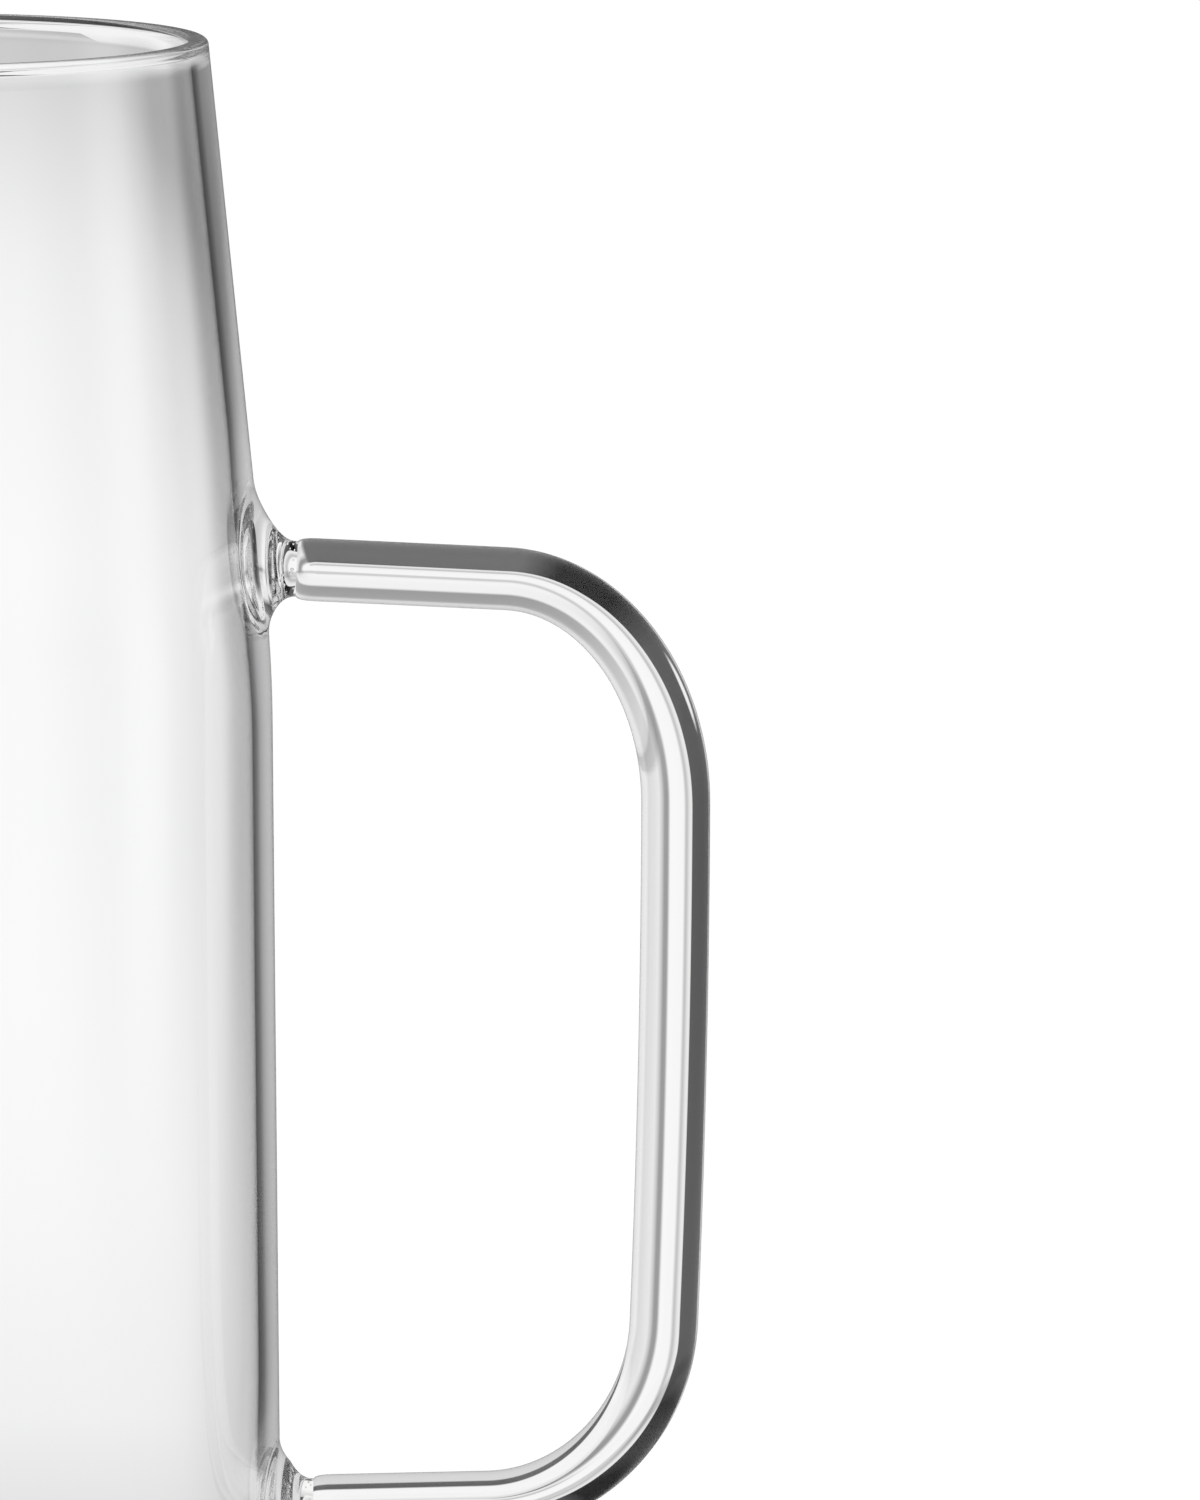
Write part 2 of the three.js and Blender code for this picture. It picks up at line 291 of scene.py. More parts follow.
skin = Skin()
outer_foot, outer_top = add_wall(skin, HEEL_ROUND, inside=False)
inner_heel_height = BASE_THICKNESS + INNER_HEEL_ROUND
inner_foot, inner_top = add_wall(skin, inner_heel_height, inside=True)
lip_height = HEIGHT - LIP_ROUND
lip_outside = float(wall_radius(lip_height)) - LIP_ROUND
lip_inside = float(wall_radius(lip_height)) - WALL - RIM_BEAD + LIP_ROUND
ring = outer_top
for turn in np.linspace(0, math.pi, LIP_RINGS)[1:-1]:
    middle = lip_outside if turn < math.pi / 2 else lip_inside
    lip = ring_at(middle + LIP_ROUND * math.cos(turn), lip_height + LIP_ROUND * math.sin(turn))
    ring = skin.add_strip(ring, skin.add_points(lip))
skin.add_strip(ring, inner_top)
heel_turns = np.linspace(0, math.pi / 2, HEEL_RINGS)[1:]
flat_radius = float(wall_radius(HEEL_ROUND)) - HEEL_ROUND
underside = [
    (flat_radius + HEEL_ROUND * math.cos(turn), HEEL_ROUND - HEEL_ROUND * math.sin(turn))
    for turn in heel_turns]
underside += [(flat_radius * share, 0) for share in FLAT_SHARES]
ring = outer_foot
for radius, z in underside:
    following = skin.add_points(ring_at(radius, z))
    skin.add_strip(following, ring)
    ring = following
skin.add_fan(ring[::-1], (0, 0, 0))
well_radius = float(wall_radius(inner_heel_height)) - WALL - INNER_HEEL_ROUND
well = [
    (well_radius + INNER_HEEL_ROUND * math.cos(turn), inner_heel_height - INNER_HEEL_ROUND * math.sin(turn))
    for turn in heel_turns]
well += [(well_radius * share, BASE_THICKNESS) for share in FLAT_SHARES]
ring = inner_foot
for radius, z in well:
    ring = skin.add_strip(ring, skin.add_points(ring_at(radius, z)))
skin.add_fan(ring, (0, 0, BASE_THICKNESS))


def plug(tree, socket, value):
    """Join a node's socket to another's output, or set it to a plain value."""
    if isinstance(value, bpy.types.NodeSocket):
        tree.links.new(value, socket)
    else:
        socket.default_value = value


def add_node(tree, kind, settings=None, **inputs):
    """A node with its settings, and its inputs plugged by name. An underscore stands for a space."""
    node = tree.nodes.new(kind)
    for name, value in (settings or {}).items():
        setattr(node, name, value)
    for name, value in inputs.items():
        plug(tree, node.inputs[name.replace("_", " ")], value)
    return node


def maths(tree, operation, *values):
    """The output of one Math node."""
    node = add_node(tree, "ShaderNodeMath", {"operation": operation})
    for socket, value in zip(node.inputs, values):
        plug(tree, socket, value)
    return node.outputs[0]


def new_tree(name, kind, inputs, outputs):
    """An empty node group with named sockets. Returns it with its given values and its results."""
    tree = bpy.data.node_groups.new(name, kind)
    for label, socket in inputs.items():
        tree.interface.new_socket(label, in_out="INPUT", socket_type=socket)
    for label, socket in outputs.items():
        tree.interface.new_socket(label, in_out="OUTPUT", socket_type=socket)
    return tree, tree.nodes.new("NodeGroupInput").outputs, tree.nodes.new("NodeGroupOutput").inputs


WAVE_DETAIL = 1.0
WAVE_ROUGHNESS = 0.4
CLOUDS_PER_WAVE = 0.4


def waviness():
    """What blown and drawn glass has in common: faint waves in its surface and clouds of a fainter tint."""
    tree, given, result = new_tree(
        "glass_waviness", "ShaderNodeTree",
        {"Wave length": "NodeSocketFloat", "Wave height": "NodeSocketFloat"},
        {"Height": "NodeSocketFloat", "Cloud": "NodeSocketFloat"})
    place = tree.nodes.new("ShaderNodeTexCoord").outputs["Object"]
    fine = maths(tree, "DIVIDE", 1.0, given["Wave length"])
    waves = add_node(
        tree, "ShaderNodeTexNoise",
        Vector=place, Scale=fine, Detail=WAVE_DETAIL, Roughness=WAVE_ROUGHNESS)
    plug(tree, result["Height"], maths(tree, "MULTIPLY", waves.outputs["Fac"], given["Wave height"]))
    coarse = maths(tree, "MULTIPLY", fine, CLOUDS_PER_WAVE)
    clouds = add_node(tree, "ShaderNodeTexNoise", Vector=place, Scale=coarse)
    plug(tree, result["Cloud"], clouds.outputs["Fac"])
    return tree


glass_waviness = waviness()
GLASS_REFRACTION = 1.47
LAMP_LIGHT_THROUGH = (0.8, 0.8, 0.8, 1)
COLOURLESS = (1, 1, 1, 1)


def clear_glass(name, tint, wave_length, wave_height, refraction=GLASS_REFRACTION):
    """Clear glass with a faint tint. It lets most of a lamp's light through to the floor."""
    material = bpy.data.materials.new(name)
    material.use_nodes = True
    tree = material.node_tree
    shader = tree.nodes["Principled BSDF"]
    effect = add_node(
        tree, "ShaderNodeGroup", {"node_tree": glass_waviness},
        Wave_length=wave_length, Wave_height=wave_height).outputs
    bump = add_node(tree, "ShaderNodeBump", Strength=1.0, Distance=1.0, Height=effect["Height"])
    colour = add_node(tree, "ShaderNodeMix", {"data_type": "RGBA"})
    plug(tree, colour.inputs["Factor"], effect["Cloud"])
    plug(tree, colour.inputs["A"], COLOURLESS)
    plug(tree, colour.inputs["B"], (*tint, 1))
    plug(tree, shader.inputs["Base Color"], colour.outputs["Result"])
    plug(tree, shader.inputs["Normal"], bump.outputs["Normal"])
    plug(tree, shader.inputs["Roughness"], 0.0)
    plug(tree, shader.inputs["IOR"], refraction)
    plug(tree, shader.inputs["Transmission Weight"], 1.0)
    shadow = add_node(tree, "ShaderNodeBsdfTransparent", Color=LAMP_LIGHT_THROUGH)
    mix = tree.nodes.new("ShaderNodeMixShader")
    plug(tree, mix.inputs[0], tree.nodes.new("ShaderNodeLightPath").outputs["Is Shadow Ray"])
    plug(tree, mix.inputs[1], shader.outputs["BSDF"])
    plug(tree, mix.inputs[2], shadow.outputs["BSDF"])
    plug(tree, tree.nodes["Material Output"].inputs["Surface"], mix.outputs["Shader"])
    return material


# A fused joint is not seen: the glass of one piece runs on into the next.
fused_joint = bpy.data.materials.new("fused_joint")
fused_joint.use_nodes = True
fused_joint.node_tree.nodes["Principled BSDF"].inputs["Alpha"].default_value = 0.0
blown_glass = clear_glass("blown_glass", BLOWN_TINT, BLOWN_WAVE_LENGTH, BLOWN_WAVE_HEIGHT)


def finish_glass(tree, geometry, glass, fused):
    """The end of every glass tree: one plain mesh, glass all over and a fused joint where it is fused."""
    whole = add_node(tree, "GeometryNodeRealizeInstances", Geometry=geometry).outputs["Geometry"]
    clear = add_node(tree, "GeometryNodeSetMaterial", Geometry=whole, Material=glass).outputs["Geometry"]
    joint = add_node(
        tree, "GeometryNodeSetMaterial", Geometry=clear, Selection=fused, Material=fused_joint)
    return joint.outputs["Geometry"]


def pulled_spout():
    """Points near the rim on the -X side go out and a little down, most in the middle and at the top."""
    inputs = {"Geometry": "NodeSocketGeometry", **{label: "NodeSocketFloat" for label in SPOUT}}
    tree, given, result = new_tree(
        "pulled_spout", "GeometryNodeTree", inputs, {"Geometry": "NodeSocketGeometry"})
    place = tree.nodes.new("GeometryNodeInputPosition").outputs["Position"]
    x, y, z = add_node(tree, "ShaderNodeSeparateXYZ", Vector=place).outputs
    turn = maths(tree, "ARCTAN2", y, maths(tree, "MULTIPLY", x, -1.0))
    share = maths(tree, "ABSOLUTE", maths(tree, "DIVIDE", turn, given["Half angle"]))
    across = maths(tree, "MULTIPLY", maths(tree, "MINIMUM", share, 1.0), math.pi / 2)
    sideways = maths(tree, "POWER", maths(tree, "COSINE", across), 2.0)
    below = maths(tree, "DIVIDE", maths(tree, "SUBTRACT", given["Rim height"], z), given["Depth"])
    upwards = maths(tree, "MAXIMUM", maths(tree, "SUBTRACT", 1.0, below), 0.0)
    pull = maths(tree, "MULTIPLY", sideways, maths(tree, "POWER", upwards, 2.0))
    out = maths(tree, "MULTIPLY", maths(tree, "MULTIPLY", pull, given["Reach"]), -1.0)
    down = maths(tree, "MULTIPLY", maths(tree, "MULTIPLY", pull, given["Dip"]), -1.0)
    offset = add_node(tree, "ShaderNodeCombineXYZ", X=out, Z=down).outputs["Vector"]
    moved = add_node(tree, "GeometryNodeSetPosition", Geometry=given["Geometry"], Offset=offset)
    named = add_node(tree, "GeometryNodeInputNamedAttribute", {"data_type": "BOOLEAN"}, Name="fused")
    fused = named.outputs["Attribute"]
    plug(tree, result["Geometry"], finish_glass(tree, moved.outputs["Geometry"], blown_glass, fused))
    return tree


def shaped(piece, tree, values):
    """The plain mesh that a Geometry Nodes tree makes of a piece, as an object in its place."""
    modifier = piece.modifiers.new(tree.name, "NODES")
    modifier.node_group = tree
    for item in tree.interface.items_tree:
        if item.in_out == "INPUT" and item.name in values:
            modifier[item.identifier] = values[item.name]
    made = piece.evaluated_get(bpy.context.evaluated_depsgraph_get())
    name = piece.name
    mesh = bpy.data.meshes.new_from_object(made)
    bpy.data.objects.remove(piece)
    mesh.name = name
    plain = bpy.data.objects.new(name, mesh)
    bpy.context.collection.objects.link(plain)
    return plain


vessel = shaped(skin.make("pitcher_vessel"), pulled_spout(), SPOUT)
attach(vessel, "root")
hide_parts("vessel")

# The handle: a solid rod of clear glass, softened in the flame and bent by hand to a D.
# It is a little thicker on the grip than on the two arms, and the grip bows out slightly.
# Both ends are rounded by the flame where they run into the welds.
UPPER_ARM_FALL = math.radians(2.7)
LOWER_ARM_RISE = math.radians(1.3)
FINGER_ROOM = 48.3 * MM
GRIP_LEAN = math.radians(1.24)
GRIP_BOW = math.radians(1.1)
UPPER_BEND_RUN = 23.3 * MM
UPPER_BEND_DROP = 29.2 * MM
LOWER_BEND_RISE = 24.3 * MM
LOWER_BEND_RUN = 23.2 * MM
BEND_LENGTH = 38 * MM
GRIP_RADIUS = 4.6 * MM
ARM_RADIUS = 4.2 * MM
NECK_RADIUS = 3.7 * MM
END_ROUND = 2.4 * MM
BEAD_LENGTH = 3.2 * MM
ROD_TINT = (0.99, 0.99, 0.985)
ROD_WAVE_LENGTH = 5 * MM
ROD_WAVE_HEIGHT = 0.002 * MM
# A curve turns a quarter round when its handles are this share of the bend's run.
QUARTER_ARC = 0.5523
LINE_STEPS = 64
RING_SPACING = 0.25 * MM
ROD_SIDES = 72
QUAD_CORNERS = 4.0
SHARP_EDGE = 0.7
X_AND_Z = [0, 2]


def way(angle):
    """A direction in the plane of the handle, from +X towards +Z."""
    return np.array([math.cos(angle), 0, math.sin(angle)])


def crossing(start, along, other, other_along):
    """Where two lines in the plane of the handle cross."""
    ways = np.stack([along, -other_along])[:, X_AND_Z]
    steps = np.linalg.solve(ways.T, (other - start)[X_AND_Z])
    return start + along * steps[0]


upper_neck = np.array([seat_x(UPPER_ARM_HEIGHT) + BEAD_LENGTH, 0, UPPER_ARM_HEIGHT])
lower_neck = np.array([seat_x(LOWER_ARM_HEIGHT) + BEAD_LENGTH, 0, LOWER_ARM_HEIGHT])
upper_way = way(-UPPER_ARM_FALL)
lower_way = way(math.pi + LOWER_ARM_RISE)
grip_way = way(-math.pi / 2 - GRIP_LEAN)
grip_height = (UPPER_ARM_HEIGHT + LOWER_ARM_HEIGHT) / 2
grip_middle = np.array([float(wall_radius(grip_height)) + FINGER_ROOM + GRIP_RADIUS, 0, grip_height])
upper_corner = crossing(upper_neck, upper_way, grip_middle, grip_way)
lower_corner = crossing(lower_neck, lower_way, grip_middle, grip_way)
grip_top = upper_corner + grip_way * UPPER_BEND_DROP
grip_foot = lower_corner - grip_way * LOWER_BEND_RISE
grip_third = np.linalg.norm(grip_foot - grip_top) / 3
bend_start = upper_corner - upper_way * UPPER_BEND_RUN
bend_end = lower_corner + lower_way * LOWER_BEND_RUN
top_way = way(-math.pi / 2 - GRIP_LEAN + GRIP_BOW)
foot_way = way(-math.pi / 2 - GRIP_LEAN - GRIP_BOW)
upper_arm = np.linalg.norm(bend_start - upper_neck)
lower_arm = np.linalg.norm(bend_end - lower_neck)
knots = (
    (upper_neck, upper_way, upper_arm / 3, upper_arm / 3),
    (bend_start, upper_way, upper_arm / 3, UPPER_BEND_RUN * QUARTER_ARC),
    (grip_top, top_way, UPPER_BEND_DROP * QUARTER_ARC, grip_third),
    (grip_foot, foot_way, grip_third, LOWER_BEND_RISE * QUARTER_ARC),
    (bend_end, lower_way, LOWER_BEND_RUN * QUARTER_ARC, lower_arm / 3),
    (lower_neck, lower_way, lower_arm / 3, lower_arm / 3),
)
line = bpy.data.curves.new("rod_handle", "CURVE")
line.dimensions = "3D"
line.resolution_u = LINE_STEPS
spline = line.splines.new("BEZIER")
spline.bezier_points.add(len(knots) - 1)
for point, (place, along, before, after) in zip(spline.bezier_points, knots):
    point.handle_left_type = "FREE"
    point.handle_right_type = "FREE"
    point.co = place
    point.handle_left = place - along * before
    point.handle_right = place + along * after
rod_line = bpy.data.objects.new("rod_handle", line)
bpy.context.collection.objects.link(rod_line)
ROD = {
    "Neck radius": NECK_RADIUS,
    "Arm radius": ARM_RADIUS,
    "Grip radius": GRIP_RADIUS,
    "End round": END_ROUND,
    "Upper arm": upper_arm,
    "Lower arm": lower_arm,
    "Bend": BEND_LENGTH,
}
rod_glass = clear_glass("rod_glass", ROD_TINT, ROD_WAVE_LENGTH, ROD_WAVE_HEIGHT)


def swept_rod():
    """A round rod along a curve: thin at the necks, thicker on the arms and thickest on the grip."""
    inputs = {"Geometry": "NodeSocketGeometry", **{label: "NodeSocketFloat" for label in ROD}}
    tree, given, result = new_tree(
        "swept_rod", "GeometryNodeTree", inputs, {"Geometry": "NodeSocketGeometry"})
    spaced = add_node(
        tree, "GeometryNodeResampleCurve", {"mode": "LENGTH"},
        Curve=given["Geometry"], Length=RING_SPACING).outputs["Curve"]
    gone = tree.nodes.new("GeometryNodeSplineParameter").outputs["Length"]
    whole = tree.nodes.new("GeometryNodeSplineLength").outputs["Length"]
    left = maths(tree, "SUBTRACT", whole, gone)

    def bent(travelled, arm):
        """0 on an arm, 1 on the grip, and smoothly between them round the bend."""
        past = add_node(tree, "ShaderNodeMapRange", {"interpolation_type": "SMOOTHSTEP"}, Value=travelled)
        plug(tree, past.inputs["From Min"], arm)
        plug(tree, past.inputs["From Max"], maths(tree, "ADD", arm, given["Bend"]))
        return past.outputs["Result"]

    grip = maths(tree, "MULTIPLY", bent(gone, given["Upper arm"]), bent(left, given["Lower arm"]))
    thicker = maths(tree, "SUBTRACT", given["Grip radius"], given["Arm radius"])
    body = maths(tree, "MULTIPLY_ADD", thicker, grip, given["Arm radius"])
    to_end = maths(tree, "DIVIDE", maths(tree, "MINIMUM", gone, left), given["End round"])
    short = maths(tree, "SUBTRACT", 1.0, maths(tree, "MINIMUM", to_end, 1.0))
    rounded = maths(tree, "SQRT", maths(tree, "SUBTRACT", 1.0, maths(tree, "MULTIPLY", short, short)))
    swell = maths(tree, "SUBTRACT", body, given["Neck radius"])
    radius = maths(tree, "MULTIPLY_ADD", swell, rounded, given["Neck radius"])
    section = add_node(tree, "GeometryNodeCurvePrimitiveCircle", Resolution=ROD_SIDES, Radius=1.0)
    rod = add_node(
        tree, "GeometryNodeCurveToMesh",
        Curve=spaced, Profile_Curve=section.outputs["Curve"], Scale=radius, Fill_Caps=True)
    corners = tree.nodes.new("GeometryNodeInputMeshFaceNeighbors").outputs["Vertex Count"]
    cap = maths(tree, "GREATER_THAN", corners, QUAD_CORNERS)
    edge_angle = tree.nodes.new("GeometryNodeInputMeshEdgeAngle").outputs["Unsigned Angle"]
    smooth = add_node(
        tree, "GeometryNodeSetShadeSmooth", {"domain": "EDGE"}, Geometry=rod.outputs["Mesh"],
        Shade_Smooth=maths(tree, "LESS_THAN", edge_angle, SHARP_EDGE)).outputs["Geometry"]
    plug(tree, result["Geometry"], finish_glass(tree, smooth, rod_glass, cap))
    return tree


handle = shaped(rod_line, swept_rod(), ROD)
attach(handle, "root")
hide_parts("handle")

# The two welds: beads of glass melted between the rod's ends and the vessel's wall.
# Each flares from the rod's rounded neck to the seat on the wall, and has seeds in it:
# small bubbles of gas, trapped where the two hot faces closed on each other.
BEAD_HOLLOW = 2.3
BEAD_RINGS = 24
BEAD_SIDES = 96
SEEDS = {
    "Per square metre": 4.0e5,
    "Smallest": 0.08 * MM,
    "Largest": 0.24 * MM,
    "Pick": 7,
}
SEED_RADII_DEEP = 2.2
SEED_SUBDIVISIONS = 3
WELD_TINT = (0.98, 0.985, 0.965)
WELD_WAVE_LENGTH = 1.6 * MM
WELD_WAVE_HEIGHT = 0.004 * MM
# Less than in real glass, where so short a bead would show only the studio's dark screens.
WELD_REFRACTION = 1.12
weld_glass = clear_glass("weld_glass", WELD_TINT, WELD_WAVE_LENGTH, WELD_WAVE_HEIGHT, WELD_REFRACTION)


def seeded_glass():
    """Round seeds scattered just under a bead's skin, as small hollows in the glass."""
    inputs = {"Geometry": "NodeSocketGeometry", **{label: "NodeSocketFloat" for label in SEEDS}}
    inputs["Pick"] = "NodeSocketInt"
    tree, given, result = new_tree(
        "seeded_glass", "GeometryNodeTree", inputs, {"Geometry": "NodeSocketGeometry"})
    named = add_node(tree, "GeometryNodeInputNamedAttribute", {"data_type": "BOOLEAN"}, Name="fused")
    fused = named.outputs["Attribute"]
    scattered = add_node(
        tree, "GeometryNodeDistributePointsOnFaces",
        Mesh=given["Geometry"], Selection=maths(tree, "SUBTRACT", 1.0, fused),
        Density=given["Per square metre"], Seed=given["Pick"]).outputs
    size = add_node(tree, "FunctionNodeRandomValue", Seed=given["Pick"])
    smallest, largest = [socket for socket in size.inputs if socket.type == "VALUE"][:2]
    plug(tree, smallest, given["Smallest"])
    plug(tree, largest, given["Largest"])
    radius = next(socket for socket in size.outputs if socket.type == "VALUE")
    inwards = add_node(
        tree, "ShaderNodeVectorMath", {"operation": "SCALE"},
        Vector=scattered["Normal"], Scale=maths(tree, "MULTIPLY", radius, -SEED_RADII_DEEP))
    sunk = add_node(
        tree, "GeometryNodeSetPosition",
        Geometry=scattered["Points"], Offset=inwards.outputs["Vector"]).outputs["Geometry"]
    ball = add_node(tree, "GeometryNodeMeshIcoSphere", Radius=1.0, Subdivisions=SEED_SUBDIVISIONS)
    balls = add_node(
        tree, "GeometryNodeInstanceOnPoints",
        Points=sunk, Instance=ball.outputs["Mesh"], Scale=radius).outputs["Instances"]
    real = add_node(tree, "GeometryNodeRealizeInstances", Geometry=balls).outputs["Geometry"]
    smooth = add_node(tree, "GeometryNodeSetShadeSmooth", Geometry=real).outputs["Geometry"]
    hollow = add_node(tree, "GeometryNodeFlipFaces", Mesh=smooth).outputs["Mesh"]
    joined = tree.nodes.new("GeometryNodeJoinGeometry")
    plug(tree, joined.inputs["Geometry"], hollow)
    plug(tree, joined.inputs["Geometry"], given["Geometry"])
    plug(tree, result["Geometry"], finish_glass(tree, joined.outputs["Geometry"], weld_glass, fused))
    return tree


def bead(name, neck, neck_way, arm_height):
    """A bead in rings from the rod's neck to the seat on the wall."""
    turns = np.linspace(0, 2 * math.pi, BEAD_SIDES, endpoint=False)
    sideways = np.array([0, 1, 0])
    seat = np.array([seat_x(arm_height), 0, arm_height])
    skin = Skin()
    rings = []
    for share in np.linspace(0, 1, BEAD_RINGS):
        flare = share**BEAD_HOLLOW
        up = np.cross(neck_way * (1 - flare) + way(0) * flare, sideways)
        radius = NECK_RADIUS + (SEAT_RADIUS - NECK_RADIUS) * flare
        circle = np.outer(np.cos(turns), sideways) + np.outer(np.sin(turns), up / np.linalg.norm(up))
        rings.append(skin.add_points(neck + (seat - neck) * share + circle * radius))
    for ring, following in zip(rings, rings[1:]):
        skin.add_strip(following, ring)
    skin.add_fan(rings[0], neck, True)
    skin.add_fan(rings[-1][::-1], seat, True)
    return skin.make(name)


seeds = seeded_glass()
for node, neck, neck_way, arm_height in (
        ("upper_weld", upper_neck, upper_way, UPPER_ARM_HEIGHT),
        ("lower_weld", lower_neck, -lower_way, LOWER_ARM_HEIGHT)):
    weld = shaped(bead(node + "_bead", neck, neck_way, arm_height), seeds, SEEDS)
    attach(weld, "root")
    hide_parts(node)

# The floor: a sheet of white paper that runs out to a white background, so only soft shade shows on it.
# Glass shows what is round it, so what the glass shows of the paper is painted into its glow: painted dark
# screens and painted shade, bright straight behind, and darker to the sides and far away.
SHEET_REACH = 8.0
SHEET_BELOW = 0.2 * MM
PAPER_GLOW = 0.68
PAPER_COLOUR = 0.3
# Levels by compass degrees: 0 behind the pitcher, 90 at the handle's side. On the paper they are painted
# screens.
SCREENS_THROUGH = (
    (-140, 0.5), (-125, 0.15), (-106, 0.2), (-99, 0.85), (-94, 1), (-86, 1), (-82, 0.9), (-76, 0.15),
    (-60, 0.15), (-54, 0.7), (-49, 1), (-41, 1), (-37, 0.8), (-30, 0.1), (-18, 0.1), (-13, 0.4),
    (-8, 0.85), (-4, 1), (1.5, 0.98), (3, 0.945), (5.7, 0.82), (7.3, 0.76), (9.5, 0.71), (16, 0.62),
    (24, 0.35), (28.5, 0.03), (37, 0.02), (48.5, 0.8), (104, 0.12), (116, 0.12), (128, 1), (142, 1))
# Levels for what the glass mirrors. On the paper they are painted reflections of the screens.
SCREENS_MIRRORED = (
    (-180, 0.75), (-110, 0.7), (-95, 0.15), (0, 0.12), (50, 0.12), (80, 0.2), (125, 0.75), (180, 0.75))
BEHIND_SHARE = ((-16, 0), (-7, 1), (38, 1), (55, 0))
# On the paper, the painted screens stand round this stretch of the X axis.
STRETCH_LEFT = -0.02
STRETCH_RIGHT = 0.035
# Painted shade levels by the metres behind the pitcher.
PAINTED_SHADE_BEHIND = (
    (0.1, 0.83), (0.17, 0.842), (0.23, 0.874), (0.4, 0.943), (0.71, 0.978), (0.98, 0.978), (1.21, 0.968),
    (1.43, 0.951), (1.79, 0.925), (2.07, 0.874), (2.46, 0.714), (2.65, 0.67), (3.6, 0.74), (5.5, 0.82),
    (8.0, 0.87))
ASLANT_SHARE = ((1.4, 0), (2.0, 0.38), (2.46, 1), (2.7, 1), (4.5, 0.5), (8.0, 0))
# Painted shade levels by the metres aside for each metre behind. Nearer paper counts as this far behind.
ASLANT_NEAREST = 0.2
PAINTED_SHADE_ASLANT = (
    (0, 1), (0.02, 0.97), (0.038, 0.85), (0.06, 0.66), (0.09, 0.54), (0.12, 0.52), (0.2, 0.55),
    (0.38, 0.55), (0.6, 1))
# Painted shade levels by the metres away from the pitcher, and how much the painted screens count there.
PAINTED_SHADE_ASIDE = ((0.1, 0.83), (0.5, 0.9))
SCREENS_ASIDE_SHARE = ((0.25, 0), (0.7, 1))
SCREENS_BEHIND_SHARE = ((0.1, 0), (0.22, 1))
FOOT_LEVEL = 0.85
PAPER_GAIN = 1.05
# A ray with fewer bounces has passed the rod or one wall of the vessel: both walls together take four.
# Such a ray sees the paper only close by, in painted shade levels by the metres to either side, and else
# the studio.
PAPER_ROD_BOUNCES = 2.5
ROD_STRIP = 0.12
ROD_NEARNESS = ((0.1, 1), (0.16, 0))
PAINTED_SHADE_THROUGH_ROD = ((0.03, 0.72), (0.04, 0.72), (0.043, 0.1), (0.055, 0.1), (0.059, 0.95), (0.1, 0.95))


def shades(tree, value, stops, soft="LINEAR"):
    """A level that changes along a value. Each stop is the value and the level there."""
    low, high = stops[0][0], stops[-1][0]
    share = maths(tree, "DIVIDE", maths(tree, "SUBTRACT", value, low), high - low)
    ramp = add_node(tree, "ShaderNodeValToRGB", Fac=share)
    ramp.color_ramp.interpolation = soft
    elements = ramp.color_ramp.elements
    for element, end, stop in zip(elements, (0, 1), (stops[0], stops[-1])):
        element.position = end
        element.color = (stop[1], stop[1], stop[1], 1)
    for place, level in stops[1:-1]:
        elements.new((place - low) / (high - low)).color = (level, level, level, 1)
    return ramp.outputs["Color"]


def blend(tree, share, first, second):
    """One value that goes over to another."""
    node = tree.nodes.new("ShaderNodeMix")
    for label, value in (("Factor", share), ("A", first), ("B", second)):
        plug(tree, node.inputs[label], value)
    return node.outputs["Result"]


def studio_sides():
    """The studio's light and dark screens by compass angle."""
    tree, given, result = new_tree(
        "studio_sides", "ShaderNodeTree", {"Direction": "NodeSocketVector"},
        {"Through": "NodeSocketFloat", "Mirrored": "NodeSocketFloat", "Behind": "NodeSocketFloat"})
    x, y = add_node(tree, "ShaderNodeSeparateXYZ", Vector=given["Direction"]).outputs[:2]
    compass = maths(tree, "DEGREES", maths(tree, "ARCTAN2", x, y))
    plug(tree, result["Through"], shades(tree, compass, SCREENS_THROUGH, "B_SPLINE"))
    plug(tree, result["Mirrored"], shades(tree, compass, SCREENS_MIRRORED))
    plug(tree, result["Behind"], shades(tree, compass, BEHIND_SHARE))
    return tree


sides = studio_sides()
sheet = bpy.data.meshes.new("paper_floor")
sheet_corners = [(x * SHEET_REACH, y * SHEET_REACH, 0) for x, y in ((-1, -1), (1, -1), (1, 1), (-1, 1))]
sheet.from_pydata(sheet_corners, [], [(0, 1, 2, 3)])
floor = bpy.data.objects.new("paper_floor", sheet)
floor.location.z = -SHEET_BELOW
bpy.context.collection.objects.link(floor)
paper = bpy.data.materials.new("white_paper_painted_shade")
paper.use_nodes = True
tree = paper.node_tree
shader = tree.nodes["Principled BSDF"]
ray = tree.nodes.new("ShaderNodeLightPath").outputs
place = tree.nodes.new("ShaderNodeTexCoord").outputs["Object"]
x, y = add_node(tree, "ShaderNodeSeparateXYZ", Vector=place).outputs[:2]
stretch = maths(tree, "MAXIMUM", maths(tree, "MINIMUM", x, STRETCH_RIGHT), STRETCH_LEFT)
side_on = maths(tree, "SUBTRACT", x, stretch)
seen_from = add_node(tree, "ShaderNodeCombineXYZ", X=side_on, Y=y).outputs["Vector"]
screens = add_node(tree, "ShaderNodeGroup", {"node_tree": sides}, Direction=seen_from).outputs
away = add_node(tree, "ShaderNodeVectorMath", {"operation": "LENGTH"}, Vector=seen_from).outputs["Value"]
